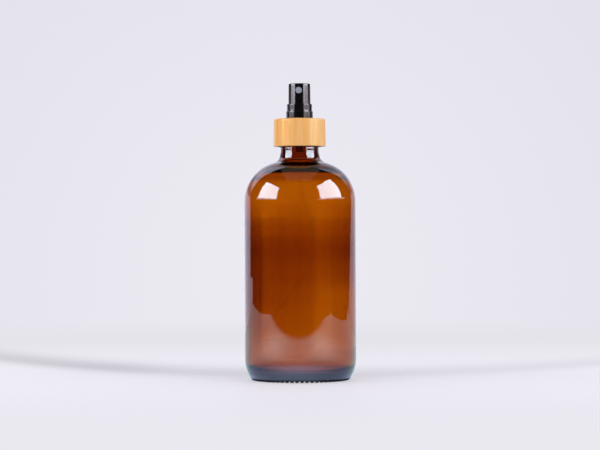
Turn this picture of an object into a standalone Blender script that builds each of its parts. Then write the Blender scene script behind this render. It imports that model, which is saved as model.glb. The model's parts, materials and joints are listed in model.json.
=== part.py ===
"""Amber Boston-round bottle with a fine-mist sprayer under a bamboo collar.

Metres, +Z up. The origin is the centre of the base on the surface that the bottle stands on,
and the nozzle points along -Y. Profiles are (radius, height) outlines turned about +Z, written
down the outer side and back up the inner side. Each node is one separate piece of the assembly.
"""

import math

import bmesh
import bpy
from mathutils import Matrix, Vector

MM = 0.001

# Glass bottle, nominal half litre with a 28 mm neck finish
BODY_RADIUS = 37.5 * MM
GLASS_HEIGHT = 169.0 * MM
WALL = 2.4 * MM
SHOULDER_RADIUS = 27.0 * MM
SHOULDER_START = 120.3 * MM
NECK_RADIUS = 12.75 * MM
NECK_BORE = 9.4 * MM
NECK_FILLET = 7.0 * MM
NECK_FILLET_INSIDE = 9.0 * MM
LIP_EDGE = 0.8 * MM
HEEL_START = 14.5 * MM
HEEL_RADIUS = 25.0 * MM
HEEL_EDGE = 2.5 * MM
BEARING_INNER = 28.6 * MM
PUSH_UP = 2.6 * MM
FLOOR_HEIGHT = 7.0 * MM
FLOOR_HEEL = 9.0 * MM
FLOOR_DISH = 0.8 * MM
BASE_STEP = 1.2 * MM
BASE_STEP_HEIGHT = 0.7 * MM

# Screw thread, six turns an inch, right-handed
THREAD_PITCH = 25.4 / 6 * MM
THREAD_TURNS = 1.15
NECK_THREAD_LOW = 161.7 * MM
NECK_THREAD_CENTRE = 12.5 * MM
NECK_THREAD_ROUND = 1.2 * MM
CLOSURE_THREAD_DROP = 1.85 * MM
CLOSURE_THREAD_ROUND = 0.95 * MM
THREAD_POINTS = 28

# Closure, with the turret that the button slides in
CLOSURE_RADIUS = 15.35 * MM
CLOSURE_BORE = 14.0 * MM
CLOSURE_BOTTOM = 156.8 * MM
DECK_UNDER = 172.0 * MM
DECK_TOP = 173.4 * MM
TURRET_BORE = 7.75 * MM
TURRET_RADIUS = 9.07 * MM
TURRET_STEP = 180.7 * MM
TURRET_TOP_RADIUS = 8.5 * MM
TURRET_TOP = 185.7 * MM
TURRET_FLARE = 0.25 * MM
TURRET_FLARE_HEIGHT = 0.7 * MM
TURRET_EDGE = 0.3 * MM

# Bamboo collar
COLLAR_TOP = 175.8 * MM
COLLAR_BOTTOM = 157.2 * MM
COLLAR_TOP_RADIUS = 17.35 * MM
COLLAR_BOTTOM_RADIUS = 17.65 * MM
COLLAR_CAVITY = 15.5 * MM
COLLAR_WEB = 2.2 * MM
COLLAR_HOLE = 9.25 * MM
COLLAR_TOP_EDGE = 1.2 * MM
COLLAR_BOTTOM_EDGE = 0.35 * MM

# Pump housing and what sits on it
FLANGE_UNDER = 170.6 * MM
FLANGE_TOP = 171.9 * MM
FLANGE_RADIUS = 12.4 * MM
CHAMBER_BORE = 3.0 * MM
CHAMBER_RADIUS = 4.1 * MM
CHAMBER_FLOOR = 159.6 * MM
RIM_RADIUS = 4.7 * MM
RIM_TOP = 173.7 * MM
NIPPLE_RADIUS = 2.7 * MM
NIPPLE_TOP = 158.6 * MM
NIPPLE_BOTTOM = 153.0 * MM
TUBE_SOCKET = 1.6 * MM
TUBE_SOCKET_TOP = 156.6 * MM
VALVE_THROAT = 0.75 * MM
VALVE_SEAT_LOW = 157.2 * MM
VALVE_SEAT_HIGH = 158.15 * MM
VENT_RADIUS = 0.3 * MM
VENT_HEIGHT = 170.1 * MM
BALL_RADIUS = 1.25 * MM
BALL_CENTRE = 158.29 * MM
CHAMBER_SLOPE = 1.8 * MM
GASKET_RADIUS = 13.2 * MM
GASKET_HOLE = 5.7 * MM
SEAL_RADIUS = 4.6 * MM
SEAL_THICKNESS = 0.8 * MM
SEAL_CLEARANCE = 0.08 * MM
CAP_RADIUS = 6.1 * MM
CAP_THICKNESS = 1.2 * MM
CAP_CLEARANCE = 0.15 * MM
CAP_EDGE = 0.3 * MM
GAP = 0.1 * MM

# Stem, piston and springs
STEM_RADIUS = 2.1 * MM
STEM_TOP = 190.9 * MM
STEM_CUP = 1.55 * MM
STEM_CUP_TOP = 178.0 * MM
STEM_CHANNEL = 0.75 * MM
STEM_FLANGE_LOW = 172.6 * MM
STEM_FLANGE_HIGH = 173.5 * MM
STEM_FLANGE_RADIUS = 2.75 * MM
ROD_RADIUS = 0.65 * MM
ROD_ROOT = 3.0 * MM
ROD_FLARE = 1.0 * MM
ROD_FLARE_RADIUS = 1.5 * MM
DISC_LOW = 167.4 * MM
DISC_HIGH = 168.1 * MM
DISC_RADIUS = 2.5 * MM
PIN_RADIUS = 1.1 * MM
PIN_LENGTH = 2.2 * MM
PISTON_RADIUS = 2.95 * MM
PISTON_WAIST = 2.6 * MM
PISTON_BORE = 0.95 * MM
PISTON_NECK = 1.4 * MM
PISTON_NECK_TOP = 172.9 * MM
PISTON_LIFT = 0.2 * MM
PISTON_LENGTH = 3.1 * MM
PISTON_LIP = 0.6 * MM
PISTON_LIP_SLOPE = 1.0 * MM
PISTON_RECESS_RADIUS = 2.3 * MM
PISTON_RECESS_ABOVE = 0.5 * MM
PISTON_RECESS_BELOW = 0.55 * MM
MAIN_SPRING_RADIUS = 2.2 * MM
MAIN_SPRING_WIRE = 0.225 * MM
MAIN_SPRING_TURNS = 5.5
SLIP_SPRING_RADIUS = 1.25 * MM
SLIP_SPRING_WIRE = 0.15 * MM
SLIP_SPRING_TURNS = 5
SPRING_POINTS = 10

# Push button and its nozzle insert
BUTTON_TOP = 199.5 * MM
BUTTON_TOP_RADIUS = 7.36 * MM
BUTTON_BOTTOM = 180.5 * MM
BUTTON_BOTTOM_RADIUS = 7.56 * MM
BUTTON_CAVITY = 6.5 * MM
BUTTON_CEILING = 197.6 * MM
BUTTON_EDGE = 0.6 * MM
BUTTON_DRAFT = 0.1 * MM
SOCKET_RADIUS = 3.0 * MM
SOCKET_BORE = 2.15 * MM
SOCKET_BOTTOM = 180.8 * MM
SOCKET_END = 191.2 * MM
SOCKET_CHANNEL = 2.4 * MM
NOZZLE_HEIGHT = 194.9 * MM
NOZZLE_BORE = 2.35 * MM
NOZZLE_POST = 1.4 * MM
INSERT_RADIUS = 2.27 * MM
INSERT_CUP = 1.5 * MM
INSERT_BACK = 3.9 * MM
INSERT_PLATE_BACK = 6.3 * MM
INSERT_FACE = 6.95 * MM
INSERT_EDGE = 0.15 * MM
ORIFICE_RADIUS = 0.2 * MM
ORIFICE_FLARE = 0.35 * MM
ORIFICE_FLARE_DEPTH = 0.25 * MM
BOSS_WALL = 0.75 * MM
BOSS_BACK = 1.5 * MM
BOSS_FRONT = 6.6 * MM
DRILL_END = 8.5 * MM
DRILL_BACK = 3.7 * MM
DUCT_RADIUS = 0.4 * MM

# Dip tube: the points that its bowed route passes through
TUBE_RADIUS = 1.5 * MM
TUBE_BORE = 0.95 * MM
TUBE_STEPS = 3
TUBE_ROUTE = [
    (0.0, 0.0, 156.4),
    (0.0, 0.0, 147.0),
    (0.3, 0.1, 134.0),
    (1.8, 0.3, 120.0),
    (5.4, 0.6, 108.5),
    (7.6, 0.8, 95.0),
    (6.6, 0.8, 82.0),
    (1.6, 0.6, 70.5),
    (-6.0, 0.3, 59.5),
    (-13.6, 0.0, 49.8),
    (-20.8, -0.3, 39.6),
    (-26.0, -0.5, 30.0),
    (-28.8, -0.6, 20.5),
]


def collection(name):
    made = bpy.data.collections.new(name)
    bpy.context.scene.collection.children.link(made)
    return made


def clear_scene():
    for obj in list(bpy.data.objects):
        bpy.data.objects.remove(obj)


def material(name, colour, roughness, metallic=0.0, alpha=1.0):
    made = bpy.data.materials.new(name)
    made.use_nodes = True
    shader = made.node_tree.nodes["Principled BSDF"]
    shader.inputs["Base Color"].default_value = (*colour, 1.0)
    shader.inputs["Roughness"].default_value = roughness
    shader.inputs["Metallic"].default_value = metallic
    shader.inputs["Alpha"].default_value = alpha
    return made


def arc(centre, radius, start, end, count):
    """Points of an arc from start to end, in degrees from the +radius direction."""
    angles = [math.radians(start + (end - start) * i / count) for i in range(count + 1)]
    return [(centre[0] + radius * math.cos(a), centre[1] + radius * math.sin(a)) for a in angles]


def rounded(corners, count=3):
    """An outline whose corners (r, z, fillet) are rounded by their fillet; a corner (r, z) stays sharp."""
    outline = []
    for i, corner in enumerate(corners):
        if len(corner) == 2:
            outline.append(corner)
            continue
        here = Vector(corner[:2])
        before = (Vector(corners[i - 1][:2]) - here).normalized()
        after = (Vector(corners[(i + 1) % len(corners)][:2]) - here).normalized()
        half = before.angle(after) / 2
        centre = here + (before + after).normalized() * corner[2] / math.sin(half)
        first = here + before * corner[2] / math.tan(half) - centre
        turn = math.copysign(math.pi - 2 * half, before.angle_signed(after))
        for step in range(count + 1):
            point = centre + Matrix.Rotation(turn * step / count, 2) @ first
            outline.append((point.x, point.y))
    return outline


def add_object(name, mesh, target, finish=None):
    obj = bpy.data.objects.new(name, mesh)
    target.objects.link(obj)
    if finish:
        mesh.materials.append(finish)
    return obj


def turned(name, outline, target, finish=None, segments=32):
    """A solid of revolution. The outline closes on itself unless both of its ends are on the axis."""
    mesh = bpy.data.meshes.new(name)
    points = [(r, 0.0, z) for r, z in outline]
    edges = [(i, i + 1) for i in range(len(points) - 1)]
    if outline[0][0] > 0:
        edges.append((len(points) - 1, 0))
    mesh.from_pydata(points, edges, [])
    obj = add_object(name, mesh, target, finish)
    screw = obj.modifiers.new("turn", "SCREW")
    screw.steps = screw.render_steps = segments
    screw.use_merge_vertices = True
    screw.merge_threshold = 1e-6
    return obj


def mesh_from(obj):
    """The object's evaluated shape as a mesh of its own, with a curve's caps welded on."""
    bpy.context.view_layer.update()
    graph = bpy.context.evaluated_depsgraph_get()
    mesh = bpy.data.meshes.new_from_object(obj.evaluated_get(graph))
    welded = bmesh.new()
    welded.from_mesh(mesh)
    bmesh.ops.remove_doubles(welded, verts=welded.verts, dist=1e-6)
    welded.to_mesh(mesh)
    welded.free()
    return mesh


def wire(name, points, radius, target, finish=None, sides=2, thickness=None):
    """A round wire or rod along points, as a mesh. thickness scales the radius at each point."""
    curve = bpy.data.curves.new(name, "CURVE")
    curve.dimensions = "3D"
    curve.bevel_depth = radius
    curve.bevel_resolution = sides
    curve.use_fill_caps = True
    spline = curve.splines.new("POLY")
    spline.points.add(len(points) - 1)
    for i, (point, place) in enumerate(zip(spline.points, points)):
        point.co = (*place, 1.0)
        point.radius = thickness[i] if thickness else 1.0
    guide = bpy.data.objects.new(name + "_guide", curve)
    target.objects.link(guide)
    obj = add_object(name, mesh_from(guide), target, finish)
    bpy.data.objects.remove(guide)
    return obj


def rod(name, radius, start, end, target, segments=24):
    """A plain cylinder from start to end, used as a cutter or a joined boss."""
    axis = Vector(end) - Vector(start)
    shape = bmesh.new()
    bmesh.ops.create_cone(
        shape, cap_ends=True, segments=segments, radius1=radius, radius2=radius, depth=axis.length
    )
    mesh = bpy.data.meshes.new(name)
    shape.to_mesh(mesh)
    shape.free()
    obj = add_object(name, mesh, target)
    obj.rotation_euler = axis.to_track_quat("Z", "Y").to_euler()
    obj.location = (Vector(start) + Vector(end)) / 2
    return obj


def combine(obj, tool, operation):
    """Joins tool to obj or cuts it away, and keeps the tool out of the render."""
    tool.hide_render = True
    tool.display_type = "WIRE"
    boolean = obj.modifiers.new(operation.lower(), "BOOLEAN")
    boolean.operation = operation
    boolean.object = tool


def settle(obj):
    """Turns the object's modifiers into its mesh, shaded smooth with sharp edges kept."""
    mesh = mesh_from(obj)
    obj.modifiers.clear()
    obj.data = mesh
    mesh.shade_smooth()
    mesh.set_sharp_from_angle(angle=math.radians(35))


def helix(radius, low, turns, pitch, points_a_turn):
    count = round(turns * points_a_turn)
    places = []
    for i in range(count + 1):
        angle = 2 * math.pi * turns * i / count
        height = low + pitch * turns * i / count
        places.append((radius * math.cos(angle), radius * math.sin(angle), height))
    return places


def thread_ridge(name, radius, low, ridge, target):
    """A round-topped helical ridge that grows out of its wall at each end."""
    places = helix(radius, low, THREAD_TURNS, THREAD_PITCH, THREAD_POINTS)
    run_out = 4
    grow = [
        min(1.0, 0.35 + 0.65 * min(i, len(places) - 1 - i) / run_out)
        for i in range(len(places))
    ]
    return wire(name, places, ridge, target, thickness=grow)


def spring(name, radius, low, high, wire_radius, turns, target, finish):
    """A compression spring: its first and last turns lie close, and the rest share the height."""
    closed_pitch = 2.5 * wire_radius
    open_pitch = (high - low - 2 * closed_pitch) / (turns - 2)
    places = []
    for i in range(round(turns * SPRING_POINTS) + 1):
        turn = i / SPRING_POINTS
        closed = min(turn, 1.0) + max(turn - (turns - 1), 0.0)
        height = low + closed * closed_pitch + (turn - closed) * open_pitch
        angle = 2 * math.pi * turn
        places.append((radius * math.cos(angle), radius * math.sin(angle), height))
    return wire(name, places, wire_radius, target, finish)


def smooth_route(points, steps):
    """A Catmull-Rom curve through the points, with steps stretches between neighbours."""
    places = [Vector(p) * MM for p in points]
    padded = [2 * places[0] - places[1], *places, 2 * places[-1] - places[-2]]
    route = []
    for a, b, c, d in zip(padded, padded[1:], padded[2:], padded[3:]):
        for i in range(steps):
            t = i / steps
            route.append(
                0.5 * (2 * b + (c - a) * t + (2 * a - 5 * b + 4 * c - d) * t**2
                       + (3 * b - a - 3 * c + d) * t**3)
            )
    return [*route, places[-1]]


def bottle_outline():
    """Up the inside from the floor's centre, over the lip, down the outside and under the base."""
    shoulder = (BODY_RADIUS - SHOULDER_RADIUS, SHOULDER_START)

    def blend(neck, fillet, round_of_shoulder):
        """Centre of the neck fillet that touches the shoulder's arc, and the angle where they meet."""
        across = neck + fillet - shoulder[0]
        up = math.sqrt((round_of_shoulder + fillet) ** 2 - across**2)
        return (neck + fillet, SHOULDER_START + up), math.degrees(math.atan2(up, across))

    outer_fillet, outer_meet = blend(NECK_RADIUS, NECK_FILLET, SHOULDER_RADIUS)
    inner_fillet, inner_meet = blend(NECK_BORE, NECK_FILLET_INSIDE, SHOULDER_RADIUS - WALL)
    floor_heel = (BODY_RADIUS - WALL - FLOOR_HEEL, FLOOR_HEIGHT - FLOOR_DISH + FLOOR_HEEL)
    inside = [
        (0.0, FLOOR_HEIGHT),
        *arc(floor_heel, FLOOR_HEEL, -90, 0, 5),
        *arc(shoulder, SHOULDER_RADIUS - WALL, 0, inner_meet, 7),
        *arc(inner_fillet, NECK_FILLET_INSIDE, inner_meet + 180, 180, 4)[1:],
    ]
    lip = [
        *arc((NECK_BORE + LIP_EDGE, GLASS_HEIGHT - LIP_EDGE), LIP_EDGE, 180, 90, 2),
        *arc((NECK_RADIUS - LIP_EDGE, GLASS_HEIGHT - LIP_EDGE), LIP_EDGE, 90, 0, 2),
    ]
    heel = (BODY_RADIUS - HEEL_RADIUS, HEEL_START)
    drop = HEEL_START - HEEL_EDGE
    reach = math.sqrt((HEEL_RADIUS - HEEL_EDGE) ** 2 - drop**2)
    heel_meet = -math.degrees(math.atan2(drop, reach))
    outside = [
        *arc(outer_fillet, NECK_FILLET, 180, outer_meet + 180, 5),
        *arc(shoulder, SHOULDER_RADIUS, outer_meet, 0, 8)[1:],
        *arc(heel, HEEL_RADIUS, 0, heel_meet, 4),
        *arc((heel[0] + reach, HEEL_EDGE), HEEL_EDGE, heel_meet, -90, 3)[1:],
    ]
    base = [
        (BEARING_INNER, 0.0),
        (BEARING_INNER - BASE_STEP, BASE_STEP_HEIGHT),
        (BEARING_INNER / 2, 0.8 * PUSH_UP),
        (0.0, PUSH_UP),
    ]
    return [*inside, *lip, *outside, *base]


def make_bottle(parts, tools, glass):
    bottle = turned("glass_bottle", bottle_outline(), parts, glass, 48)
    ridge = thread_ridge(
        "neck_thread", NECK_THREAD_CENTRE, NECK_THREAD_LOW, NECK_THREAD_ROUND, tools
    )
    combine(bottle, ridge, "UNION")


def make_closure(parts, tools, plastic):
    outline = rounded([
        (TURRET_TOP_RADIUS, TURRET_TOP, TURRET_FLARE),
        (TURRET_TOP_RADIUS, TURRET_STEP + TURRET_FLARE_HEIGHT),
        (TURRET_TOP_RADIUS + TURRET_FLARE, TURRET_STEP),
        (TURRET_RADIUS, TURRET_STEP, TURRET_EDGE),
        (TURRET_RADIUS, DECK_TOP),
        (CLOSURE_RADIUS, DECK_TOP),
        (CLOSURE_RADIUS, CLOSURE_BOTTOM),
        (CLOSURE_BORE, CLOSURE_BOTTOM),
        (CLOSURE_BORE, DECK_UNDER),
        (TURRET_BORE, DECK_UNDER),
        (TURRET_BORE, TURRET_TOP),
    ])
    closure = turned("threaded_closure", outline, parts, plastic, 40)
    ridge = thread_ridge(
        "closure_thread", CLOSURE_BORE, NECK_THREAD_LOW - CLOSURE_THREAD_DROP,
        CLOSURE_THREAD_ROUND, tools,
    )
    combine(closure, ridge, "UNION")


def make_collar(parts, bamboo):
    outline = rounded([
        (COLLAR_TOP_RADIUS, COLLAR_TOP, COLLAR_TOP_EDGE),
        (COLLAR_BOTTOM_RADIUS, COLLAR_BOTTOM, COLLAR_BOTTOM_EDGE),
        (COLLAR_CAVITY, COLLAR_BOTTOM),
        (COLLAR_CAVITY, COLLAR_TOP - COLLAR_WEB),
        (COLLAR_HOLE, COLLAR_TOP - COLLAR_WEB),
        (COLLAR_HOLE, COLLAR_TOP),
    ])
    turned("bamboo_collar", outline, parts, bamboo, 40)


def make_housing(parts, tools, plastic):
    outline = [
        (RIM_RADIUS, RIM_TOP),
        (RIM_RADIUS, FLANGE_TOP),
        (FLANGE_RADIUS, FLANGE_TOP),
        (FLANGE_RADIUS, FLANGE_UNDER),
        (CHAMBER_RADIUS, FLANGE_UNDER),
        (CHAMBER_RADIUS, NIPPLE_TOP + CHAMBER_SLOPE),
        (NIPPLE_RADIUS, NIPPLE_TOP),
        (NIPPLE_RADIUS, NIPPLE_BOTTOM),
        (TUBE_SOCKET, NIPPLE_BOTTOM),
        (TUBE_SOCKET, TUBE_SOCKET_TOP),
        (VALVE_THROAT, TUBE_SOCKET_TOP),
        (VALVE_THROAT, VALVE_SEAT_LOW),
        (TUBE_SOCKET, VALVE_SEAT_HIGH),
        (TUBE_SOCKET, CHAMBER_FLOOR),
        (CHAMBER_BORE, CHAMBER_FLOOR),
        (CHAMBER_BORE, RIM_TOP),
    ]
    housing = turned("pump_housing", outline, parts, plastic, 32)
    vent = rod(
        "vent_drill", VENT_RADIUS, (CHAMBER_BORE - MM, 0, VENT_HEIGHT),
        (CHAMBER_RADIUS + MM, 0, VENT_HEIGHT), tools, 8,
    )
    combine(housing, vent, "DIFFERENCE")


def make_seals(parts, foam, rubber, plastic):
    def ring(outer, inner, high, low):
        return [(outer, high), (outer, low), (inner, low), (inner, high)]

    gasket = ring(GASKET_RADIUS, GASKET_HOLE, FLANGE_UNDER - GAP, GLASS_HEIGHT + GAP)
    turned("neck_gasket", gasket, parts, foam, 40)
    seal_low = RIM_TOP + GAP
    seal_high = seal_low + SEAL_THICKNESS
    seal = ring(SEAL_RADIUS, STEM_RADIUS + SEAL_CLEARANCE, seal_high, seal_low)
    turned("stem_seal", seal, parts, rubber, 24)
    cap_under = seal_high + GAP
    cap_top = cap_under + CAP_THICKNESS
    cap = rounded([
        (CAP_RADIUS, cap_top, CAP_EDGE),
        (CAP_RADIUS, FLANGE_TOP + GAP),
        (RIM_RADIUS + CAP_CLEARANCE, FLANGE_TOP + GAP),
        (RIM_RADIUS + CAP_CLEARANCE, cap_under),
        (STEM_RADIUS + CAP_CLEARANCE, cap_under),
        (STEM_RADIUS + CAP_CLEARANCE, cap_top),
    ])
    turned("housing_cap", cap, parts, plastic, 32)


def make_stem(parts, plastic):
    upper = [
        (STEM_RADIUS, STEM_TOP),
        (STEM_RADIUS, STEM_FLANGE_HIGH),
        (STEM_FLANGE_RADIUS, STEM_FLANGE_HIGH),
        (STEM_FLANGE_RADIUS, STEM_FLANGE_LOW),
        (STEM_CUP, STEM_FLANGE_LOW),
        (STEM_CUP, STEM_CUP_TOP),
        (STEM_CHANNEL, STEM_CUP_TOP),
        (STEM_CHANNEL, STEM_TOP),
    ]
    turned("upper_stem", upper, parts, plastic, 24)
    lower = [
        (0.0, STEM_CUP_TOP + ROD_ROOT),
        (ROD_RADIUS, STEM_CUP_TOP + ROD_ROOT),
        (ROD_RADIUS, DISC_HIGH + ROD_FLARE),
        (ROD_FLARE_RADIUS, DISC_HIGH),
        (DISC_RADIUS, DISC_HIGH),
        (DISC_RADIUS, DISC_LOW),
        (PIN_RADIUS, DISC_LOW),
        (PIN_RADIUS, DISC_LOW - PIN_LENGTH),
        (0.0, DISC_LOW - PIN_LENGTH),
    ]
    turned("lower_stem", lower, parts, plastic, 24)


def make_piston(parts, plastic):
    low_lip = DISC_HIGH + PISTON_LIFT
    high_lip = low_lip + PISTON_LENGTH
    outline = [
        (PISTON_NECK, PISTON_NECK_TOP),
        (PISTON_NECK, high_lip - PISTON_RECESS_ABOVE),
        (PISTON_RECESS_RADIUS, high_lip - PISTON_RECESS_ABOVE),
        (PISTON_WAIST, high_lip),
        (PISTON_RADIUS, high_lip),
        (PISTON_RADIUS, high_lip - PISTON_LIP),
        (PISTON_WAIST, high_lip - PISTON_LIP_SLOPE),
        (PISTON_WAIST, low_lip + PISTON_LIP_SLOPE),
        (PISTON_RADIUS, low_lip + PISTON_LIP),
        (PISTON_RADIUS, low_lip),
        (PISTON_WAIST + 0.05 * MM, low_lip),
        (PISTON_RECESS_RADIUS, low_lip + PISTON_RECESS_BELOW),
        (PISTON_BORE, low_lip + PISTON_RECESS_BELOW),
        (PISTON_BORE, PISTON_NECK_TOP),
    ]
    turned("piston", outline, parts, plastic, 32)


def make_springs(parts, steel):
    main_inset = GAP + MAIN_SPRING_WIRE
    spring(
        "main_spring", MAIN_SPRING_RADIUS, CHAMBER_FLOOR + main_inset, DISC_LOW - main_inset,
        MAIN_SPRING_WIRE, MAIN_SPRING_TURNS, parts, steel,
    )
    slip_inset = GAP / 2 + SLIP_SPRING_WIRE
    spring(
        "slip_spring", SLIP_SPRING_RADIUS, PISTON_NECK_TOP + slip_inset, STEM_CUP_TOP - slip_inset,
        SLIP_SPRING_WIRE, SLIP_SPRING_TURNS, parts, steel,
    )


def make_ball(parts, steel):
    shape = bmesh.new()
    bmesh.ops.create_uvsphere(shape, u_segments=16, v_segments=10, radius=BALL_RADIUS)
    mesh = bpy.data.meshes.new("inlet_ball")
    shape.to_mesh(mesh)
    shape.free()
    add_object("inlet_ball", mesh, parts, steel).location.z = BALL_CENTRE


def make_button(parts, tools, plastic):
    shell = rounded([
        (0.0, BUTTON_TOP),
        (BUTTON_TOP_RADIUS, BUTTON_TOP, BUTTON_EDGE),
        (BUTTON_BOTTOM_RADIUS, BUTTON_BOTTOM),
        (BUTTON_CAVITY + BUTTON_DRAFT, BUTTON_BOTTOM),
        (BUTTON_CAVITY, BUTTON_CEILING),
        (SOCKET_RADIUS, BUTTON_CEILING),
        (SOCKET_RADIUS, SOCKET_BOTTOM),
        (SOCKET_BORE, SOCKET_BOTTOM),
        (SOCKET_BORE, SOCKET_END),
        (STEM_CHANNEL, SOCKET_END),
        (STEM_CHANNEL, SOCKET_END + SOCKET_CHANNEL),
        (0.0, SOCKET_END + SOCKET_CHANNEL),
    ])
    button = turned("spray_button", shell, parts, plastic, 40)
    boss = rod(
        "nozzle_boss", NOZZLE_BORE + BOSS_WALL, (0, -BOSS_BACK, NOZZLE_HEIGHT),
        (0, -BOSS_FRONT, NOZZLE_HEIGHT), tools, 24,
    )
    combine(button, boss, "UNION")
    post_face = INSERT_PLATE_BACK - GAP
    bore = [
        (0.0, DRILL_END),
        (NOZZLE_BORE, DRILL_END),
        (NOZZLE_BORE, DRILL_BACK),
        (NOZZLE_POST, DRILL_BACK),
        (NOZZLE_POST, post_face),
        (0.0, post_face),
    ]
    drill = turned("nozzle_bore", bore, tools, None, 28)
    face_front(drill)
    combine(button, drill, "DIFFERENCE")
    duct_height = NOZZLE_HEIGHT - (NOZZLE_BORE + NOZZLE_POST) / 2
    duct = rod("feed_duct", DUCT_RADIUS, (0, 0, duct_height), (0, -INSERT_BACK, duct_height), tools, 12)
    combine(button, duct, "DIFFERENCE")


def face_front(obj):
    """Lays an object turned about +Z along the nozzle's axis, pointing out of the button's front."""
    obj.rotation_euler.x = math.radians(90)
    obj.location.z = NOZZLE_HEIGHT


def make_insert(parts, plastic):
    outline = rounded([
        (INSERT_RADIUS, INSERT_FACE, INSERT_EDGE),
        (INSERT_RADIUS, INSERT_BACK),
        (INSERT_CUP, INSERT_BACK),
        (INSERT_CUP, INSERT_PLATE_BACK),
        (ORIFICE_RADIUS, INSERT_PLATE_BACK),
        (ORIFICE_RADIUS, INSERT_FACE - ORIFICE_FLARE_DEPTH),
        (ORIFICE_RADIUS + ORIFICE_FLARE, INSERT_FACE),
    ])
    face_front(turned("nozzle_insert", outline, parts, plastic, 28))


def make_tube(parts, tools, plastic):
    route = smooth_route(TUBE_ROUTE, TUBE_STEPS)
    tube = wire("dip_tube", route, TUBE_RADIUS, parts, plastic, sides=3)
    past_start = 2 * route[0] - route[1]
    past_end = 2 * route[-1] - route[-2]
    bore = wire("tube_bore", [past_start, *route, past_end], TUBE_BORE, tools, sides=2)
    combine(tube, bore, "DIFFERENCE")


def main():
    clear_scene()
    parts = collection("spray_bottle")
    tools = collection("cutters")
    glass = material("amber_glass", (0.42, 0.13, 0.01), 0.03, alpha=0.6)
    black = material("black_plastic", (0.012, 0.012, 0.013), 0.22)
    bamboo = material("bamboo", (0.80, 0.50, 0.22), 0.5)
    grey = material("grey_plastic", (0.32, 0.34, 0.40), 0.35)
    natural = material("natural_plastic", (0.75, 0.75, 0.72), 0.35)
    foam = material("foam", (0.85, 0.85, 0.83), 0.8)
    rubber = material("rubber", (0.03, 0.03, 0.03), 0.7)
    steel = material("steel", (0.62, 0.62, 0.62), 0.25, metallic=1.0)

    make_bottle(parts, tools, glass)
    make_closure(parts, tools, black)
    make_collar(parts, bamboo)
    make_housing(parts, tools, natural)
    make_seals(parts, foam, rubber, natural)
    make_stem(parts, natural)
    make_piston(parts, natural)
    make_springs(parts, steel)
    make_ball(parts, steel)
    make_button(parts, tools, black)
    make_insert(parts, grey)
    make_tube(parts, tools, natural)
    for obj in parts.objects:
        settle(obj)


main()
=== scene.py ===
import json
import math

import bmesh
import bpy
from mathutils import Matrix, Vector


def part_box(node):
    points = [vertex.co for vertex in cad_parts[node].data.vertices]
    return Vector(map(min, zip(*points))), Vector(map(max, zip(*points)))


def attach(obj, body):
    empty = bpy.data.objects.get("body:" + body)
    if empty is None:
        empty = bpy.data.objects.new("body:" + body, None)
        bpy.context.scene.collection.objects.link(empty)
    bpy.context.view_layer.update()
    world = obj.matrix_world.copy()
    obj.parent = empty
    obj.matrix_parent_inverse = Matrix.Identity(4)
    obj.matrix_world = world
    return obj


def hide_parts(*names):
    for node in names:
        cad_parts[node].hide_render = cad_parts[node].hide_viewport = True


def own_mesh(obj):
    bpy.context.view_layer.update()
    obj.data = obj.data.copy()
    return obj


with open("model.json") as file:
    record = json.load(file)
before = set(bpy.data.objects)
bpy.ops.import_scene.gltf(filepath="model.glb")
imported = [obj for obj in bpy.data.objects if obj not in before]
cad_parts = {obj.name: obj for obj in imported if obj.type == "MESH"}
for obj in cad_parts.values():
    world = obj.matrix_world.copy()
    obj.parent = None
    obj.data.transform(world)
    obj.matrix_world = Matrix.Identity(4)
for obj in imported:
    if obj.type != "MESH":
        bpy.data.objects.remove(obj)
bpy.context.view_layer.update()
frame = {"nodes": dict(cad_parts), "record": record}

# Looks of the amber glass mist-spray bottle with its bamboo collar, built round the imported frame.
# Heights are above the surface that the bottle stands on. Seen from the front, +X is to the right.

MM = 0.001

# Camera: it looks level, from a little to the right of the front; distances in metres, lens in mm
CAMERA_TURN = math.radians(4.4)
CAMERA_DISTANCE = 1.503
CAMERA_HEIGHT = 0.1043
CAMERA_LENS = 133.75
CAMERA_ROLL = math.radians(-0.26)

# Glass bottle; the bore's two heights are above the centre of the neck's inner fillet
GLASS_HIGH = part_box("glass_bottle")[1]
BODY_RADIUS = GLASS_HIGH.x
GLASS_HEIGHT = GLASS_HIGH.z
GLASS_SEGMENTS = 480
SHOULDER_RADIUS = 27.0 * MM
SHOULDER_START = 120.3 * MM
NECK_RADIUS = 12.75 * MM
NECK_BORE = 9.4 * MM
NECK_ROOT_BORE = 8.0 * MM
NECK_FILLET = 7.0 * MM
NECK_FILLET_INSIDE = 9.0 * MM
NECK_BORE_FLARE = 0.2 * MM
NECK_BORE_LOW = 6.0 * MM
NECK_BORE_HIGH = 11.0 * MM
WALL = 2.4 * MM
LIP_EDGE = 0.8 * MM
HEEL_START = 14.5 * MM
HEEL_RADIUS = 25.0 * MM
HEEL_EDGE = 2.5 * MM
BEARING_INNER = 28.6 * MM
PUSH_UP = 2.6 * MM
FLOOR_HEIGHT = 7.0 * MM
FLOOR_DISH = 0.8 * MM
FLOOR_HEEL = 6.5 * MM
FLOOR_LEAN = 0.008
BASE_STEP = 1.2 * MM
BASE_STEP_HEIGHT = 0.7 * MM

# Knurls: grooves in the base's edge. A wave from 0 to 1 runs round it, and a groove's flank climbs
# where the wave is between the two KNURL_EDGE values.
KNURLS = 60
KNURL_DEPTH = 1.0 * MM
KNURL_HEIGHT = 1.8 * MM
KNURL_INNER = 31.2 * MM
KNURL_BLEND = 0.5 * MM
KNURL_EDGE = (0.60, 0.84)

# Neck below the collar: it widens downwards and carries two fine lines of the mould
JOINT_LINES = [154.4 * MM, 152.9 * MM]
JOINT_WIDTH = 0.45 * MM
JOINT_DEPTH = 0.13 * MM
NECK_LOW = 149.2 * MM
NECK_HIGH = 157.5 * MM
NECK_TAPER = 0.42 * MM
NECK_RUN_OUT = 2 * MM

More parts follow.
